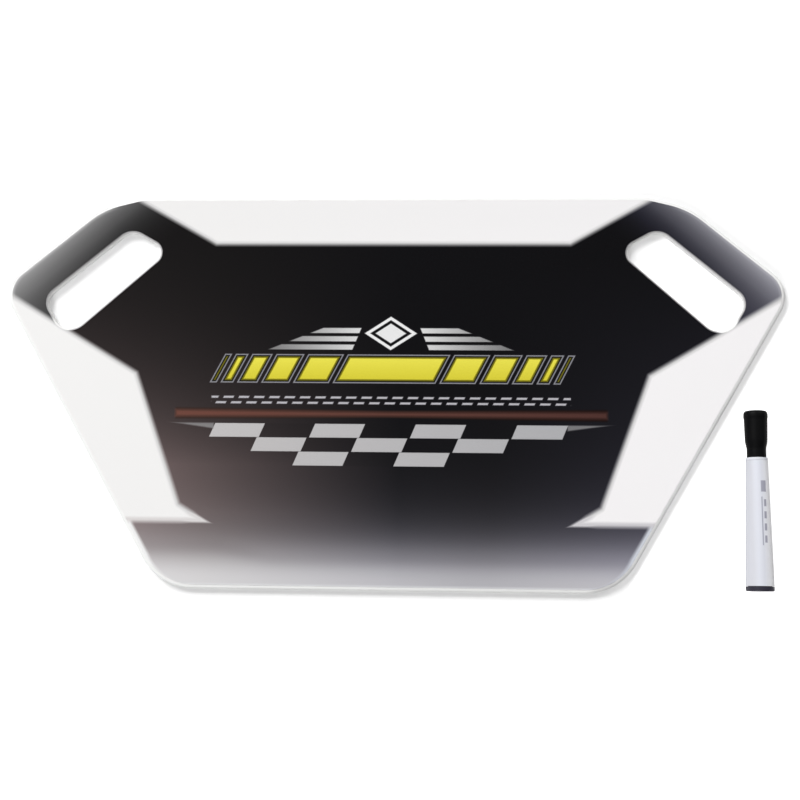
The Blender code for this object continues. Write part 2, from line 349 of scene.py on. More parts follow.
def plateMesh(name, low, high, margin=0.0, slotMargin=0.0, edgeRound=0.0, slotRound=0.0):
    # wall(s, t) = path(s) - inset(t) * outward(s) at height(t), round the outline and both slots
    points = []
    faces = []
    count = 0
    walls = [(boardCorners(), margin, edgeRound, 1)]
    walls += [(slotCorners(side), -slotMargin, slotRound, -1) for side in (1, -1)]
    for corners, inset, rounding, way in walls:
        path, out = roundPath(corners, inset)
        profile = plateProfile(low, high, rounding)
        wall = np.empty((len(profile), len(path), 3))
        wall[..., :2] = path - way * profile[:, :1, None] * out
        wall[..., 2] = profile[:, 1:]
        points.append(wall.reshape(-1, 3))
        faces.append(gridFaces(len(profile), len(path), closeColumns=True) + count)
        count += wall.shape[0] * wall.shape[1]
    mesh = meshOf(name, np.vstack(points) * mm, np.vstack(faces))
    finishMesh(mesh, math.radians(boardShape["sharpAngle"]), flatEnds=True)
    return mesh


sheetLook = {
    "color": (241, 241, 240), "cloud": (232, 232, 231), "cloudScale": 9.0, "cloudShare": 0.35,
    "roughness": 0.42, "roughnessSpread": 0.14,
    # scales of the grain and of the tool marks, which are drawn out from back to front
    "grain": 900.0, "toolMarks": (650.0, 650.0, 40),
    "bump": (0.12, 0.0002),
}
# painted shade on the sheet's rim: grey round the slots, the lower right corner, the right side and
# the left handle
paintedRimShade = {
    "color": (150, 148, 150), "slots": 0.85, "corner": 0.22, "side": 0.13, "handle": 0.2,
    "soft": 2.0,
    # how far each grey reaches in from its edge
    "sideReach": 8, "handleReach": 5,
    # where each grey begins and where it is full: heights over the back, places on the board
    "slotsRise": (5.2, 6.0), "cornerRise": (4.4, 5.2),
    "cornerAcross": (150, 160), "cornerDown": (26, 18), "leftHalf": (0, -10),
}
slotSurround = {"middle": 48, "halfWidth": 30, "start": -28, "end": 100}


def handleFrame(x, y):
    # place along the handle edge from the bend, and inwards from it, on either side
    offX = abs(x) - handleBend[0]
    offY = y - handleBend[1]
    along = offX * handleAlong[0] + offY * handleAlong[1]
    inwards = offX * handleInwards[0] + offY * handleInwards[1]
    return along, inwards


def afterBend(along):
    # 0 before the handle edge's bend, 1 along the handle
    return along.ramp(-12, -2)


def onRight(x):
    # 0 on the left half, 1 on the right from 60 mm on
    return x.ramp(0, 60)


def nearSlots(x, y):
    # distance inside a broad box round each hand slot
    along, inwards = handleFrame(x, y)
    across = slotSurround["halfWidth"] - abs(inwards - slotSurround["middle"])
    return across.least(along - slotSurround["start"]).least(slotSurround["end"] - along)


def rimShadeShare(x, y, z):
    # share of painted shade on the rim, with y above the foot and z above the back
    soft = paintedRimShade["soft"]
    # painted shade: the slots' rounded rims are greyed near the print, but not by the panels
    slots = nearSlots(x, y).inside(soft) * z.ramp(*paintedRimShade["slotsRise"])
    slots = slots * (1 - (panelMask(x, y) + 1).inside(soft))
    # painted shade: the rim is also greyer round the lower right corner, on its upper half,
    # and along the right side and the left handle
    corner = x.ramp(*paintedRimShade["cornerAcross"]) * y.ramp(*paintedRimShade["cornerDown"])
    corner = corner * z.ramp(*paintedRimShade["cornerRise"])
    sideFoot, sideTip = [place[:2] for place in boardShape["corners"][:2]]
    side = (paintedRimShade["sideReach"] - leftOf(x, y, sideFoot, sideTip)).inside(soft)
    along, inwards = handleFrame(x, y)
    handle = (paintedRimShade["handleReach"] - inwards).inside(soft) * afterBend(along)
    handle = handle * x.ramp(*paintedRimShade["leftHalf"])
    grey = (slots * paintedRimShade["slots"]).most(corner * paintedRimShade["corner"])
    return grey.most(side * paintedRimShade["side"]).most(handle * paintedRimShade["handle"])


def makeSheetLook():
    look = Look("whiteSheetPlastic", IOR=1.5)
    x, y, z = look.xyz()
    cloud = look.noise(sheetLook["cloudScale"], 3.0) * sheetLook["cloudShare"]
    grain = look.noise(sheetLook["grain"], 3.0, 0.6)
    marks = look.noise(1.0, 2.0, vector=look.stretched(*sheetLook["toolMarks"]))
    tone = look.mix(cloud, sheetLook["color"], sheetLook["cloud"])
    # painted shade greys the rim
    grey = rimShadeShare(x, y + halfHeight, z)
    tone = look.mix(grey, tone, paintedRimShade["color"])
    look.paint(tone)
    look.rough(sheetLook, grain - 0.5)
    look.bump(grain * 0.6 + marks * 0.4, *sheetLook["bump"])
    return look


# Places on the print in millimetres: x from the centre line, y above the board's foot. Colours are
# screen levels from 0 to 255, "soft" is the width of an edge, and a pair for a ramp holds the
# place where it begins and the place where it is full.
printLook = {
    "roughness": 0.5, "roughnessSpread": 0.12, "scratches": (60, 900, 60), "peel": 420.0,
    "bump": (0.05, 0.0001), "soft": 0.7, "artShift": 0.3,
    # fine mottle: grains over the threshold tint the ink grey
    "grain": 1400.0, "threshold": 0.35, "mottle": 0.05, "grey": (128, 128, 128),
}
panels = {
    # the right panel's outer end, shoulder, waist and spike, and the height of its lower edge
    "side": ((300.0, 228.1), (199.0, 167.6), (161.7, 64.9), (137.6, 50.4)), "foot": 50.3,
    # the top panel's right end, at the board's edge and at its lower corner
    "top": ((201.7, 305.1), (140.0, 270.0)),
    "soft": 3.4, "spikeSharper": 1.6, "keyWidth": 2.9, "whiteSoft": 2.0,
    # painted light: the right panel's white is whiter than the left one's
    "left": (243, 242, 241), "right": (248, 246, 247), "keyLine": (214, 213, 213),
    "lowLineLeft": (220, 216, 215), "lowLineRight": (207, 205, 209), "across": (-200, 200),
    # the lower edges' key line is broader and softer, up to here; the spikes begin here
    "lowExtra": 0.7, "lowSofter": 0.4, "lowDown": (59.3, 56.3), "spikeIn": (160, 152),
    # painted shade: topShade darkens the panels a little towards the top edge
    "topShade": 0.018, "topUp": (230, 290), "black": (24, 24, 24),
}


def leftOf(x, y, start, end):
    # signed distance of (x, y) from the line start to end, positive on its left side
    (ax, ay), (bx, by) = start, end
    length = math.hypot(bx - ax, by - ay)
    nx = -(by - ay) / length
    ny = (bx - ax) / length
    return x * nx + y * ny - (ax * nx + ay * ny)


def panelMask(x, y):
    # distance inside the writing panels: two at the sides and one along the top edge
    edge, shoulder, waist, spike = panels["side"]
    wide = abs(x)
    below = leftOf(wide, y, shoulder, edge) * -1
    outside = leftOf(wide, y, waist, shoulder) * -1
    under = leftOf(wide, y, spike, waist) * -1
    above = y - panels["foot"]
    side = below.least(outside.most(under)).least(above)
    topCorner, topLow = panels["top"]
    top = (y - topLow[1]).least(leftOf(wide, y, topLow, topCorner))
    return side.most(top)


footFade = {
    "base": 22, "level": 168, "middle": 32.5, "power": 2.75, "rightLoss": 0.055,
    "dip": 8, "dipHeight": 22.5, "dipRise": 8.5, "dipWidth": 5.8, "leftEnd": (-90, -130),
}


def footFadeLevel(x, y):
    # (base + level / (1 + (y / middle) ^ power)) / 255, so pale at the foot, less a small dip that
    # lies higher at the left end, and a little less pale to the right
    fromDip = y - footFade["dipHeight"] - x.ramp(*footFade["leftEnd"]) * footFade["dipRise"]
    dip = ((fromDip * (1 / footFade["dipWidth"])) ** 2 * -1).exp()
    rise = (y.most(0.0) * (1 / footFade["middle"])) ** footFade["power"]
    pale = footFade["level"] / (1 + rise) - dip * footFade["dip"]
    return (footFade["base"] + pale * (1 - onRight(x) * footFade["rightLoss"])) * (1 / 255)


gripFade = {
    # on the left grip, and what the right one has more of
    "level": 140 / 255, "fall": 0.047, "slope": 0.36 / 255,
    "rightLevel": 8 / 255, "rightFall": 0.0076, "rightSlope": -0.03 / 255,
    # places inwards from the handle edge where both parts end and where they are full
    "reach": (56, 18), "slopeReach": (60, 40),
}


def gripFadeLevel(x, y):
    # level * e^(-fall * inwards) from the handle edge, and a slope along that edge
    right = onRight(x)
    along, inwards = handleFrame(x, y)
    fall = right * gripFade["rightFall"] + gripFade["fall"]
    level = right * gripFade["rightLevel"] + gripFade["level"]
    slope = right * gripFade["rightSlope"] + gripFade["slope"]
    grip = (inwards * fall * -1).exp() * level * inwards.ramp(*gripFade["reach"])
    return grip + along.most(0.0) * inwards.ramp(*gripFade["slopeReach"]) * slope


field = {
    # painted sheen: paler per millimetre to the left, from where on, in full between which
    # heights, the share left at the foot, and how fast it falls above
    "paintedSheen": 0.22 / 158, "liftFrom": 8, "liftFoot": 58, "liftTop": 95, "footShare": 0.38,
    "liftFall": 72, "liftGrip": (0.5, 0),
    # the same painted sheen to the right, where it falls to nothing at the top
    "paintedCoolSheen": 0.04 / 70, "coolFrom": 80, "coolDown": (260, 0), "coolUp": (4, 26),
    # shares of the painted sheen and of the foot's middle greys that tint the field
    "warmRed": 0.15, "warmGreen": -0.07, "warmBlue": -0.09, "footGreen": -0.006, "footBlue": 0.018,
    "footBlueIn": (-140, 0), "gripBlue": 0.022, "coolBlue": 0.35,
    # levels of the grip's and the foot's fade over which the tints change
    "onGrip": (0, 1 / 14), "warmFoot": (5 / 6, 0),
}


def blackField(look, x, y):
    foot = footFadeLevel(x, y)
    grip = gripFadeLevel(x, y)
    onGrip = grip.ramp(*field["onGrip"])
    # painted reflection: a warm sheen to the left, most between 58 and 95 mm up, and a slight cool
    # one to the right
    paintedSheen = ((field["liftFrom"] - x) * field["paintedSheen"]).most(0.0)
    paintedSheen = paintedSheen * ((y - field["liftTop"]).most(0.0) * (-1 / field["liftFall"])).exp()
    share = y * ((1 - field["footShare"]) / field["liftFoot"]) + field["footShare"]
    paintedSheen = paintedSheen * share.least(1.0) * grip.ramp(*field["liftGrip"])
    paintedCoolSheen = ((x - field["coolFrom"]) * field["paintedCoolSheen"]).most(0.0)
    paintedCoolSheen = paintedCoolSheen * y.ramp(*field["coolDown"])
    dark = foot + (paintedSheen + paintedCoolSheen) + grip * (1 - foot)
    # painted reflection: the warm sheen also tints the field red, away from the grips and the pale
    # foot
    sheenWarmth = paintedSheen * (1 - onGrip) * foot.ramp(*field["warmFoot"])
    middle = foot * (1 - foot) * 4
    red = dark + sheenWarmth * field["warmRed"]
    green = dark + sheenWarmth * field["warmGreen"] + middle * field["footGreen"]
    blue = dark + sheenWarmth * field["warmBlue"]
    blue = blue + middle * field["footBlue"] * x.ramp(*field["footBlueIn"])
    blue = blue + onGrip * onRight(x) * field["gripBlue"]
    blue = blue + paintedCoolSheen * field["coolBlue"] * y.ramp(*field["coolUp"])
    return look.color(red, green, blue)


handleEdge = {
    # distances in from the edge where the thinning ends and where it is full
    "thin": (5.6, 0.4), "reach": 26, "reachSoft": 4.0, "share": 0.85, "rightLess": 0.4,
    "color": (238, 238, 238),
}


def paintHandleEdge(look, ink, x, y):
    # the black thins out over its last two millimetres along the handles, round both corners; on
    # a corner the distance from the edge is radius - hypot(past its tangent, short of its centre)
    along, inwards = handleFrame(x, y)
    tipRadius, bendRadius = [corner[2] for corner in boardShape["corners"][1:3]]
    fromEdge = None
    for start, way, radius, turn in ((0.0, -1, bendRadius, handleTurns[0]),
                                     (handleLength, 1, tipRadius, handleTurns[1])):
        tangent = start - way * radius * math.tan(turn / 2)
        past = ((along - tangent) * way).most(0.0)
        distance = radius - (past * past + (radius - inwards).most(0.0) ** 2) ** 0.5
        fromEdge = fromEdge.least(distance) if fromEdge else distance
    thin = fromEdge.ramp(*handleEdge["thin"]) * afterBend(along)
    thin = thin * (handleEdge["reach"] - inwards).inside(handleEdge["reachSoft"])
    share = handleEdge["share"] - onRight(x) * handleEdge["rightLess"]
    return look.mix(thin * share, ink, handleEdge["color"])


redLine = {
    "height": 135.45, "reach": 167.3,
    # half width at the middle, growth outwards, soft, share, colour at the right and at the left
    "dark": (2.7, 1 / 95, 1.6, 0.8, (35, 21, 18), (58, 44, 39)),
    "red": (1.6, 1 / 190, 3.0, 1.0, (80, 54, 50), (110, 72, 63)),
}


def paintRedLine(look, ink, x, y):
    # thin two-tone line over the chequers, broader towards its ends
    off = abs(y - redLine["height"])
    wide = abs(x)
    toLeft = x.ramp(redLine["reach"], -redLine["reach"])
    for tone in ("dark", "red"):
        half, growth, soft, share, right, left = redLine[tone]
        line = (half + wide * growth - off).least(redLine["reach"] - wide).inside(soft)
        ink = look.mix(line * share, ink, look.mix(toLeft, right, left))
    return ink


chequers = {
    "top": 127.75, "left": -135.86, "cell": 39.05, "rowHeight": 10.92, "lean": 0.42, "step": 6.22,
    "lastRow": 2, "lastColumn": 6, "black": (27, 27, 28), "blackShare": 0.12,
    # light cells at the right and, paler with painted sheen, at the left
    "lightRight": (172, 172, 175), "lightLeftWithSheen": (194, 191, 191), "across": (150, -150),
    # the flat wedges at both ends of the top row
    "tipFrom": 137.0, "tipEnd": 167.0, "tipDepth": 4.3, "tip": (150, 149, 150),
    "tipSoft": 1.2, "tipShare": 0.75,
}


def paintChequers(look, ink, x, y):
    # slanted chequers in three rows, each a cell shorter at both ends than the one above
    cell = chequers["cell"]
    rowHeight = chequers["rowHeight"]
    down = chequers["top"] - y
    row = (down * (1 / rowHeight)).floor()
    inRow = down - row * rowHeight
    slanted = x + inRow * chequers["lean"] + row * chequers["step"] - chequers["left"]
    column = (slanted * (1 / cell)).floor()
    inColumn = slanted - column * cell
    cellEdge = inColumn.least(cell - inColumn).least(inRow).least(rowHeight - inRow)
    even = 1 - (column - row) % 2
    started = (column - row).above(-0.5)
    ended = (chequers["lastColumn"] - column - row).above(-0.5)
    rows = down.above(0.0) * (chequers["lastRow"] + 0.5 - row).above(0.0)
    block = started * ended * rows
    ink = look.mix(block * chequers["blackShare"], ink, chequers["black"])
    # painted sheen: the light cells are paler towards the left
    light = look.mix(x.ramp(*chequers["across"]), chequers["lightRight"], chequers["lightLeftWithSheen"])
    ink = look.mix(block * even * cellEdge.inside(printLook["soft"]), ink, light)
    wide = abs(x)
    tipLow = (chequers["tipFrom"], chequers["top"] - chequers["tipDepth"])
    tips = down.least(leftOf(wide, y, tipLow, (chequers["tipEnd"], chequers["top"])))
    tips = tips.least(wide - chequers["tipFrom"]).inside(chequers["tipSoft"])
    return look.mix(tips * chequers["tipShare"], ink, chequers["tip"])


dashes = {
    # height and start of each row
    "rows": ((148.3, 0.0), (144.0, 6.0)),
    "pitch": 12, "halfLength": 4.0, "halfHeight": 0.85, "lean": 0.5, "reach": 139.5,
    "color": (186, 184, 190),
}


def paintDashes(look, ink, x, y):
    # two rows of short dashes under the yellow bars
    mask = None
    for level, start in dashes["rows"]:
        run = (x - (y - level) * dashes["lean"] + start) % dashes["pitch"]
        dash = (dashes["halfHeight"] - abs(y - level)).least(dashes["reach"] - abs(x))
        dash = dash.least(dashes["halfLength"] - abs(run - dashes["pitch"] / 2))
        mask = mask.most(dash) if mask else dash
    return look.mix(mask.inside(printLook["soft"]), ink, dashes["color"])


yellowBars = {
    "height": 171.0, "halfHeight": 11.4, "middle": 0.9, "lean": 0.51, "slant": 0.89,
    "spans": ((-40, 40), (43, 71), (74, 96), (99, 115), (118, 128), (131, 136.5)),
    # distance in from the bar's edge where each tone begins
    "tones": ((0.0, (150, 150, 156)), (0.9, (24, 24, 26)), (1.9, (112, 106, 28))),
    "fill": 3.1, "low": (214, 203, 60), "high": (236, 227, 84), "shadeUp": (162, 180),
}


def paintTones(look, ink, distance, tones):
    for inset, tone in tones:
        ink = look.mix((distance - inset).inside(printLook["soft"]), ink, tone)
    return ink


def paintYellowBars(look, ink, x, y):
    # forward-slanted yellow bars, longest at the middle, each in a thin grey outline
    up = y - yellowBars["height"]
    lean = abs(x - up * yellowBars["lean"] - yellowBars["middle"])
    bars = None
    for begin, end in yellowBars["spans"]:
        bar = ((end - begin) / 2 - abs(lean - (begin + end) / 2)) * yellowBars["slant"]
        bars = bars.most(bar) if bars else bar
    bars = bars.least(yellowBars["halfHeight"] - abs(up))
    ink = paintTones(look, ink, bars, yellowBars["tones"])
    yellow = look.mix(y.ramp(*yellowBars["shadeUp"]), yellowBars["low"], yellowBars["high"])
    return look.mix((bars - yellowBars["fill"]).inside(printLook["soft"]), ink, yellow)


wings = {
    "foot": 186.0, "top": 204.4, "pitch": 6.6, "half": 2.1, "color": (236, 236, 236),
    "inner": ((22.0, 206.0), (30.0, 186.0)), "outer": ((96.0, 186.0), (34.0, 211.0)),
    "fadeOut": (162, 12),
}
diamond = {
    "height": 199.2, "halfWidth": 20.5, "halfHeight": 13.4, "inset": 11.2,
    "tones": ((0.0, (238, 238, 238)), (2.4, (24, 24, 25)), (4.6, (232, 232, 232))),
}


def paintWings(look, ink, x, y):
    # striped wings with a diamond between them, over the yellow bars
    wide = abs(x)
    up = y - wings["foot"]
    stripe = up % wings["pitch"]
    mask = (wings["half"] - abs(stripe - wings["half"])).least(up).least(wings["top"] - y)
    for side in ("inner", "outer"):
        mask = mask.least(leftOf(wide, y, *wings[side]))
    mask = mask.inside(printLook["soft"]) * wide.ramp(*wings["fadeOut"])
    ink = look.mix(mask, ink, wings["color"])
    across = wide * (1 / diamond["halfWidth"])
    upright = abs(y - diamond["height"]) * (1 / diamond["halfHeight"])
    return paintTones(look, ink, (1 - across - upright) * diamond["inset"], diamond["tones"])


footEdges = {
    # the margin along the slanted sides: its width near the foot, and what it gains further up
    "width": 3.0, "gain": 2.6, "gainUp": (6, 26), "soft": 2.6, "top": 60,
    # margin colours at the left and at the right, where the margin is painted darker and bluer as
    # shade
    "left": (241, 241, 241), "right": (206, 210, 219),
    # the painted highlight along the foot: a pale line
    "line": (236, 236, 238), "highlightDown": (4.8, 2.0), "highlightIn": (165, 153),
}


def paintFootEdges(look, ink, x, y):
    # pale margin along the slanted sides, where the fade stops short of the edge; it follows the
    # rounded corner, round whose centre the distance from the edge is radius - hypot(across, past)
    wide = abs(x)
    sideFoot, sideTip = [np.array(corner[:2], float) for corner in boardShape["corners"][:2]]
    alongX, alongY = (sideTip - sideFoot) / np.hypot(*(sideTip - sideFoot))
    radius = boardShape["corners"][0][2]
    offX = wide - (sideFoot[0] - radius * math.tan(math.atan2(alongY, alongX) / 2))
    offY = y - radius
    across = offX * alongY - offY * alongX
    past = (offX * alongX + offY * alongY).least(0.0)
    fromEdge = radius - (across * across + past * past) ** 0.5
    margin = footEdges["width"] + y.ramp(*footEdges["gainUp"]) * footEdges["gain"] - fromEdge
    margin = margin.least(offX).least(footEdges["top"] - y).inside(footEdges["soft"])
    # painted shade: the margin is darker and bluer on the right
    color = look.mix(onRight(x), footEdges["left"], footEdges["right"])
    ink = look.mix(margin, ink, color)
    # painted highlight: the fade turns almost white over its last two millimetres along the foot
    line = y.ramp(*footEdges["highlightDown"]) * wide.ramp(*footEdges["highlightIn"])
    return look.mix(line, ink, footEdges["line"])


def paintPanels(look, ink, x, y):
    # writing panels with soft edges and a grey key line along them, which is broader along the
    # side panels' lower edges; their spikes are sharper
    distance = panelMask(x, y)
    toRight = x.ramp(*panels["across"])
    low = y.ramp(*panels["lowDown"])
    lowLine = look.mix(toRight, panels["lowLineLeft"], panels["lowLineRight"])
    keyLine = look.mix(low, panels["keyLine"], lowLine)
    spike = low * abs(x).ramp(*panels["spikeIn"])
    ink = look.mix(distance.inside(panels["soft"] - spike * panels["spikeSharper"]), ink, keyLine)
    # painted light and shade: the right panel is whiter than the left, and the panels darker
    # towards the top
    white = look.mix(toRight, panels["left"], panels["right"])
    shade = y.ramp(*panels["topUp"]) * panels["topShade"]
    white = look.mix(shade, white, panels["black"])
    inset = distance - panels["keyWidth"] - low * panels["lowExtra"]
    return look.mix(inset.inside(low * panels["lowSofter"] + panels["whiteSoft"]), ink, white)


def makePrintLook():
    look = Look("printedFilm", IOR=1.5, Specular_IOR_Level=0.0, Coat_Weight=0.45,
                Coat_Roughness=0.15, Coat_IOR=1.45)
    x, y = look.xyz()[:2]
    y = y + halfHeight
    ink = blackField(look, x, y)
    ink = paintHandleEdge(look, ink, x, y)
    artX = x - printLook["artShift"]
    for paint in (paintRedLine, paintChequers, paintDashes, paintYellowBars, paintWings):
        ink = paint(look, ink, artX, y)
    ink = paintFootEdges(look, ink, x, y)
    ink = paintPanels(look, ink, artX, y)
    grain = look.noise(printLook["grain"], 2.0, 0.6)
    mottle = (grain - printLook["threshold"]) * printLook["mottle"]
    look.paint(look.mix(mottle, ink, printLook["grey"]))
    scratches = look.noise(1.0, 3.0, 0.7, vector=look.stretched(*printLook["scratches"]))
    look.rough(printLook, scratches - 0.5)
    look.bump(look.noise(printLook["peel"], 2.0, 0.4), *printLook["bump"])
    return look


clearLook = {
    "color": (0.02, 0.021, 0.022, 1), "alpha": 0.02, "roughness": 0.1, "roughnessSpread": 0.14,
    "scuffs": (900, 70, 60), "peel": 360.0, "bump": (0.04, 0.0001),
}


def makeClearLook():
    look = Look("clearGlossFilm", IOR=1.46, Alpha=clearLook["alpha"])
    look.put("Base Color", clearLook["color"])
    scuffs = look.noise(1.0, 4.0, 0.65, vector=look.stretched(*clearLook["scuffs"]))
    look.rough(clearLook, scuffs)
    look.bump(look.noise(clearLook["peel"], 2.0, 0.4), *clearLook["bump"])
    return look


# underside and top of each layer, with a gap of 0.1 mm for the glue between them
layers = {"sheet": (0.0, 6.0), "print": (6.1, 6.3), "clear": (6.4, 6.7)}


def filmMesh(name, layer):
    return plateMesh(name, *layers[layer], boardShape["filmMargin"], boardShape["slotMargin"])


addPiece("whiteSheet",
         plateMesh("whiteSheet", *layers["sheet"], edgeRound=boardShape["edgeRound"],
                   slotRound=boardShape["slotEdgeRound"]),
         makeSheetLook(), "board", "core_sheet")
addPiece("printedFront", filmMesh("printedFront", "print"), makePrintLook(),
         "board", "front_graphic")
addPiece("clearFront", filmMesh("clearFront", "clear"), makeClearLook(),
         "board", "clear_overlay")
say("board made")


# Lengths along the marker's axis start at the plug's end, in millimetres.
markerPlace = {
    "x": 279.13, "foot": 4.0 - halfHeight, "axisHeight": 10.5129, "dip": 0.0113543,
    "sides": 112, "curveSteps": 6, "sharpAngle": 35,
}


def markerPoints(radius, height, angle):
    # foot + height * axis + radius * (cos a * right + sin a * up), the axis dipping to the cap
    dip = markerPlace["dip"]
    axis = np.array([0, math.cos(dip), -math.sin(dip)])
    up = np.array([0, math.sin(dip), math.cos(dip)])
    right = np.array([1.0, 0, 0])
    foot = np.array([markerPlace["x"], markerPlace["foot"], markerPlace["axisHeight"]])
    radial = np.cos(angle)[..., None] * right + np.sin(angle)[..., None] * up
    return foot + height[..., None] * axis + radius[..., None] * radial


def softProfile(corners):
    # (radius, height, reach) corners: each becomes a curve (1-t)^2 a + 2t(1-t) corner + t^2 b,
    # where a and b lie reach away from the corner on its two sides
    corners = np.array(corners, float)
    here = corners[:, :2]
    arriving = here - np.roll(here, 1, 0)
    leaving = np.roll(here, -1, 0) - here
    arriving /= np.maximum(np.hypot(*arriving.T), 1e-9)[:, None]
    leaving /= np.maximum(np.hypot(*leaving.T), 1e-9)[:, None]
    reach = corners[:, 2:3]
    t = np.linspace(0, 1, markerPlace["curveSteps"] + 1)[None, :, None]
    first = (here - arriving * reach)[:, None]
    last = (here + leaving * reach)[:, None]
    curve = (1 - t) ** 2 * first + 2 * t * (1 - t) * here[:, None] + t ** 2 * last
    return curve.reshape(-1, 2)


def turnedMesh(name, corners):
    # surface(a, s) = marker point at radius(s), height(s) and angle a, closed both ways
    profile = softProfile(corners)
    angle = np.linspace(0, math.tau, markerPlace["sides"], endpoint=False)
    radius = np.repeat(profile[:, :1], len(angle), 1)
    height = np.repeat(profile[:, 1:], len(angle), 1)
    points = markerPoints(radius, height, np.broadcast_to(angle, radius.shape))
    faces = gridFaces(len(profile), len(angle), closeRows=True, closeColumns=True)
    mesh = meshOf(name, points.reshape(-1, 3) * mm, faces)
    finishMesh(mesh, math.radians(markerPlace["sharpAngle"]))
    return mesh


plasticLook = {
    "cloudScale": 90.0, "cloudShare": 0.6, "grain": 600.0, "roughnessSpread": 0.12,
    "bumpDistance": 0.0001,
}


def makePlasticLook(name, color, cloud, roughness, shine=0.4, bumpScale=700.0, bump=0.06):
    look = Look(name, IOR=1.5, Specular_IOR_Level=shine)
    share = look.noise(plasticLook["cloudScale"], 2.0) * plasticLook["cloudShare"]
    look.paint(look.mix(share, color, cloud))
    grain = look.noise(plasticLook["grain"], 3.0) - 0.5
    look.put("Roughness", roughness + grain * plasticLook["roughnessSpread"])
    look.bump(look.noise(bumpScale, 2.0, 0.5), bump, plasticLook["bumpDistance"])
    return look


fibreLook = {"roughness": 0.85, "roughnessSpread": 0.12, "bump": (0.35, 0.0003)}


def makeFibreLook(name, color, cloud, grainAlong, grainAcross=2600):
    # bundled fibres run along the marker, so the noise is drawn out along Y
    look = Look(name, Specular_IOR_Level=0.25)
    grain = look.stretched(grainAcross, grainAlong, grainAcross)
    fibres = look.noise(1.0, 4.0, 0.7, vector=grain)
    look.paint(look.mix(fibres, color, cloud))
    look.rough(fibreLook, fibres)
    look.bump(fibres, *fibreLook["bump"])
    return look


# clearance between the marker's pieces
fit = 0.3


barrel = {
    "base": 3.5, "length": 94.0, "baseRadius": 10.5, "mouthRadius": 8.3, "wall": 1.2, "lip": 0.2,
}
barrelMouth = barrel["base"] + barrel["length"]
barrelLook = {
    "shell": (216, 218, 227), "cloud": (209, 212, 221), "cloudScale": 60.0, "cloudShare": 0.4,
    # the two sides' colours, painted light and shade, with the places across where they begin and
    # where they are full
    "shadedLeftSide": (206, 207, 214), "toLeft": (-2.2, -5.8),
    "litRightSide": (252, 252, 255), "toRight": (1.5, 7.0),
    "print": (140, 140, 156), "printShare": 0.75, "printSoft": 0.5,
    "roughness": 0.5, "roughnessSpread": 0.1, "grain": 500.0, "peel": 300.0,
    "bump": (0.04, 0.0001),
}
# generic print: its span up from the plug's end; each mark's place to the right and half width;
# then the bars' half length and pitch, and the swatch's place up and half length
barrelPrint = {
    "span": (34, 70), "line": (1.2, 0.4), "bars": (3.6, 0.9, 2.6, 9), "swatch": (2.6, 1.9, 78, 4.2),
}


def boreRadius(height):
    share = (height - barrel["base"]) / barrel["length"]
    outer = barrel["baseRadius"] + (barrel["mouthRadius"] - barrel["baseRadius"]) * share
    return outer - barrel["wall"]


def barrelMarks(side, far):
    # distance inside one long thin line, a row of short bars beside it and a swatch over both
    start, end = barrelPrint["span"]
    within = (far - start).least(end - far)
    place, half = barrelPrint["line"]
    line = (half - abs(side - place)).least(within)
    place, half, halfLength, pitch = barrelPrint["bars"]
    bars = halfLength - abs((far - start) % pitch - pitch / 2)
    bars = bars.least(half - abs(side - place)).least(within)
    place, half, up, halfLength = barrelPrint["swatch"]
    swatch = (half - abs(side - place)).least(halfLength - abs(far - up))
    return line.most(bars).most(swatch)


def makeBarrelLook():
    look = Look("paleBarrelPlastic", IOR=1.5, Specular_IOR_Level=0.3)
    x, y, z = look.xyz()
    side = x - markerPlace["x"]
    far = y - markerPlace["foot"]
    upper = (z - markerPlace["axisHeight"]).inside(1.0)
    cloud = look.noise(barrelLook["cloudScale"], 2.0) * barrelLook["cloudShare"]
    shell = look.mix(cloud, barrelLook["shell"], barrelLook["cloud"])
    # painted light and shade: the tube is whiter down its right side and greyer down its left one
    shell = look.mix(side.ramp(*barrelLook["toLeft"]) * upper, shell, barrelLook["shadedLeftSide"])
    shell = look.mix(side.ramp(*barrelLook["toRight"]) * upper, shell, barrelLook["litRightSide"])
    marks = barrelMarks(side, far).inside(barrelLook["printSoft"]) * upper
    shell = look.mix(marks * barrelLook["printShare"], shell, barrelLook["print"])
    look.paint(shell)
    look.rough(barrelLook, look.noise(barrelLook["grain"], 2.0) - 0.5)
    look.bump(look.noise(barrelLook["peel"], 2.0, 0.4), *barrelLook["bump"])
    return look


def addBarrel():
    base = barrel["base"] + fit
    mouth = barrelMouth + barrel["lip"]
    corners = [
        (barrel["baseRadius"], base, 0.25),
        (barrel["mouthRadius"], mouth, 0.2),
        (boreRadius(barrelMouth), mouth, 0.1),
        (boreRadius(base), base, 0.2),
    ]
    addPiece("barrel", turnedMesh("barrel", corners), makeBarrelLook(),
             "pen", "marker_barrel")


plug = {
    "flange": 3.5, "depth": 8.0, "radius": 10.5, "cupRadius": 6.0, "cupDepth": 6.0,
    "dishRadius": 5.5, "dishDepth": 0.45, "dishSlope": 0.3,
    "color": (52, 50, 62), "cloud": (46, 45, 56), "roughness": 0.42,
}


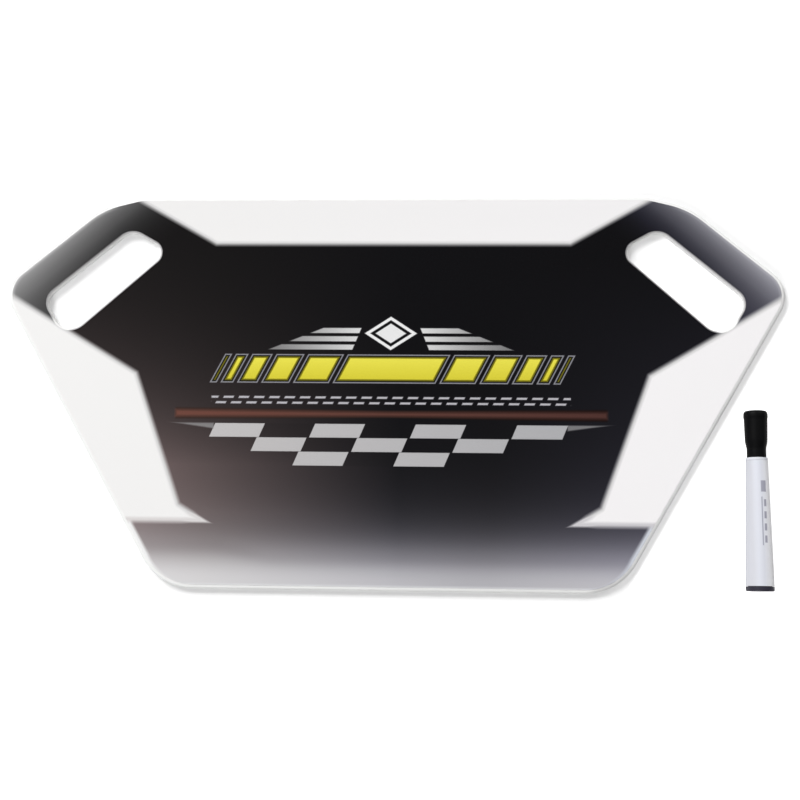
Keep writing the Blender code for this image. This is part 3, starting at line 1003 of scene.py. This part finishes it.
def addEndPlug():
    rim = plug["flange"] + plug["depth"]
    spigot = boreRadius(rim) - fit
    cup = plug["cupRadius"] + fit
    floor = rim - plug["cupDepth"]
    dish = plug["dishDepth"]
    corners = [
        (0, dish, 0), (plug["dishRadius"] - plug["dishSlope"], dish, 0.3),
        (plug["dishRadius"] + plug["dishSlope"], 0, 0.3), (plug["radius"], 0, 1.2),
        (plug["radius"], plug["flange"], 0.2), (spigot, plug["flange"], 0.1), (spigot, rim, 0.4),
        (cup, rim, 0.2), (cup, floor, 0.2), (0, floor, 0),
    ]
    look = makePlasticLook("darkPlugPlastic", plug["color"], plug["cloud"], plug["roughness"])
    addPiece("endPlug", turnedMesh("endPlug", corners), look,
             "pen", "marker_end_plug")


nose = {
    "collar": 2.0, "inset": 0.15, "depth": 10.0, "length": 12.0, "cone": 9.0,
    "coneBase": 3.6, "coneTip": 2.9,
    "color": (219, 221, 228), "cloud": (211, 213, 221), "roughness": 0.4,
}
nib = {
    "radius": 2.0, "reach": 5.5, "tipLength": 2.4, "tipRadius": 0.9, "socket": 6.0,
    "color": (26, 26, 29), "cloud": (44, 44, 48), "grainAlong": 500,
}
cap = {
    "length": 35.4, "neckRadius": 7.15, "neck": 6.9, "step": 5.2, "waistRadius": 8.3,
    "crownRadius": 9.0, "crown": 2.2, "topRadius": 7.6, "bore": 5.7, "roof": 2.0,
    # the crown's flare, the rounding added at its top edge and the dish in its top
    "flareStart": 4.0, "flareEnd": 2.4, "flare": 0.3, "topRound": 0.55,
    "dishRadius": 5.4, "dishSlope": 0.4, "dishDepth": 0.45,
    "color": (17, 17, 18), "cloud": (13, 13, 15), "roughness": 0.5,
}
collarTop = barrelMouth + fit + nose["collar"]
noseTop = collarTop + nose["length"]
capMouth = collarTop + fit
capTop = capMouth + cap["length"]


def addNose():
    spigot = boreRadius(barrelMouth) - fit
    collar = barrel["mouthRadius"] - nose["inset"]
    bore = nib["radius"] + fit
    foot = barrelMouth + fit
    spigotFoot = barrelMouth - nose["depth"]
    seal = cap["bore"] - fit
    coneTop = noseTop + nose["cone"]
    corners = [
        (bore, spigotFoot, 0), (spigot, spigotFoot, 0.3), (spigot, foot, 0.1),
        (collar, foot, 0.1), (collar, collarTop, 0.5), (seal, collarTop, 0.3),
        (seal, noseTop, 0.8), (nose["coneBase"], noseTop, 0.5),
        (nose["coneTip"], coneTop, 0.3), (bore, coneTop, 0.1),
    ]
    look = makePlasticLook("paleNosePlastic", nose["color"], nose["cloud"], nose["roughness"])
    addPiece("nose", turnedMesh("nose", corners), look, "pen", "marker_nose")


def addNib():
    foot = barrelMouth - nose["depth"] - nib["socket"]
    top = noseTop + nose["cone"] + nib["reach"]
    corners = [
        (0, foot, 0), (nib["radius"], foot, 0.2),
        (nib["radius"], top - nib["tipLength"], 0.9), (nib["tipRadius"], top, 0.5), (0, top, 0),
    ]
    look = makeFibreLook("inkedFelt", nib["color"], nib["cloud"], nib["grainAlong"])
    addPiece("nib", turnedMesh("nib", corners), look, "pen", "marker_nib")


def addCap():
    neckTop = capMouth + cap["neck"]
    waist = neckTop + cap["step"]
    crown = capTop - cap["crown"]
    ceiling = capTop - cap["roof"]
    dish = capTop - cap["dishDepth"]
    corners = [
        (cap["neckRadius"], capMouth, 0.3), (cap["neckRadius"], neckTop, 0.8),
        (cap["waistRadius"], waist, 1.6),
        (cap["crownRadius"] - cap["flare"], crown - cap["flareStart"], 1.0),
        (cap["crownRadius"], crown - cap["flareEnd"], 0.6), (cap["crownRadius"], crown, 0.6),
        (cap["topRadius"] + cap["topRound"], capTop, 1.2), (cap["dishRadius"], capTop, 0.5),
        (cap["dishRadius"] - cap["dishSlope"], dish, 0.3), (0, dish, 0),
        (0, ceiling, 0), (cap["bore"], ceiling, 0.3), (cap["bore"], capMouth, 0.2),
    ]
    look = makePlasticLook("blackCapPlastic", cap["color"], cap["cloud"], cap["roughness"],
                           shine=0.1, bumpScale=500.0, bump=0.04)
    addPiece("cap", turnedMesh("cap", corners), look, "cap", "marker_cap")


addBarrel()
addEndPlug()
addNose()
addNib()
addCap()


# the sealed inner pieces keep their shape and get their own finish
reservoirLook = {"color": (62, 62, 68), "cloud": (40, 40, 46), "grainAlong": 300}
linerLook = {"color": (186, 186, 190), "cloud": (176, 176, 181), "roughness": 0.5}


def dressInside(node, look):
    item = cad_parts[node]
    item.data.materials.clear()
    item.data.materials.append(look.material)


dressInside("marker_reservoir", makeFibreLook("inkFibre", **reservoirLook))
dressInside("marker_cap_liner", makePlasticLook("greyLinerPlastic", **linerLook))
say("marker made")


studio = {
    "floorHalf": 2, "floorHeight": -0.0003, "floorColor": 0.8, "floorDarker": 0.792,
    "floorCloud": 0.2,
    "worldGrey": 0.04, "distance": 6.0,
    # the floor's own glow: everywhere, beyond the board's right side, and round the marker
    "glow": {"all": 0.22, "beside": 0.42, "marker": 0.26},
    # distances beyond that side where the last two begin and where they are full
    "besideOut": (3, 8), "markerOut": (12, 20),
    # share of the glow beside the board that also lies under the right slot, and where
    "underSlot": 0.8, "slotSoft": 4.0, "rightHalf": (0, 40), "lowerEnd": (-4, 4),
    # azimuth and elevation in degrees, size in metres, and the light's share of full white
    "lights": {
        "key": (129, 42, 3.0, 0.63),
        "fillTop": (45, 36, 2.9, 0.19),
        "fillFoot": (248, 34, 2.9, 0.29),
    },
}


def floorGlow(x, y):
    # the floor's glow in parts of the strongest, with y above the board's foot: more beyond the
    # board's right side and under the right slot, so that the shadows stay faint there, and more
    # again round the marker
    glow = studio["glow"]
    strongest = sum(glow.values())
    sideFoot, sideTip = [corner[:2] for corner in boardShape["corners"][:2]]
    outside = leftOf(x, y, sideFoot, sideTip) * -1
    # but not under the left slot or the right one's upper end, where the shadow shows
    along = handleFrame(x, y)[0]
    underSlot = nearSlots(x, y).inside(studio["slotSoft"]) * x.ramp(*studio["rightHalf"])
    underSlot = underSlot * along.ramp(*studio["lowerEnd"]) * studio["underSlot"]
    beside = outside.ramp(*studio["besideOut"]).most(underSlot)
    roundMarker = outside.ramp(*studio["markerOut"]) * (glow["marker"] / strongest)
    return beside * (glow["beside"] / strongest) + roundMarker + glow["all"] / strongest


def addFloor():
    half = studio["floorHalf"]
    corners = np.array([(-half, -half), (half, -half), (half, half), (-half, half)])
    corners = np.column_stack([corners, np.full(4, studio["floorHeight"])])
    mesh = meshOf("floor", corners, np.array([[0, 1, 2, 3]]))
    look = Look("paleFloor", Roughness=0.9, Specular_IOR_Level=0.0)
    pale = studio["floorColor"]
    darker = studio["floorDarker"]
    look.put("Base Color", look.mix(look.noise(3.0, 2.0) * studio["floorCloud"],
                                    (pale, pale, pale, 1), (darker, darker, darker, 1)))
    # the floor glows for the camera alone
    x, y = look.xyz()[:2]
    seen = Val(look, look.node("ShaderNodeLightPath").outputs["Is Camera Ray"])
    level = seen * floorGlow(x, y + halfHeight)
    look.put("Emission Strength", sum(studio["glow"].values()))
    look.put("Emission Color", look.color(level, level, level))
    mesh.materials.append(look.material)
    floor = bpy.data.objects.new("floor", mesh)
    bpy.context.scene.collection.objects.link(floor)


def addWorld():
    world = bpy.data.worlds.new("studioWorld")
    world.use_nodes = True
    bpy.context.scene.world = world
    tree = world.node_tree
    background = tree.nodes["Background"]
    path = tree.nodes.new("ShaderNodeLightPath")
    mix = tree.nodes.new("ShaderNodeMix")
    mix.data_type = "RGBA"
    grey = studio["worldGrey"]
    mix.inputs[6].default_value = (grey, grey, grey, 1)
    mix.inputs[7].default_value = (1, 1, 1, 1)
    tree.links.new(path.outputs["Is Camera Ray"], mix.inputs[0])
    tree.links.new(mix.outputs[2], background.inputs["Color"])


def addLight(name, azimuth, elevation, size, share):
    # power = share * pi^2 * distance^2 / sin(elevation) gives that share of white on the floor
    distance = studio["distance"]
    turn = math.radians(azimuth)
    rise = math.radians(elevation)
    data = bpy.data.lights.new(name, "AREA")
    data.shape = "DISK"
    data.size = size
    data.energy = share * (math.pi * distance) ** 2 / math.sin(rise)
    lamp = bpy.data.objects.new(name, data)
    lamp.location = (distance * math.cos(rise) * math.cos(turn),
                     distance * math.cos(rise) * math.sin(turn), distance * math.sin(rise))
    lamp.rotation_euler = (math.pi / 2 - rise, 0, turn + math.pi / 2)
    bpy.context.scene.collection.objects.link(lamp)


addFloor()
addWorld()
for name, settings in studio["lights"].items():
    addLight(name, *settings)
say("studio made")
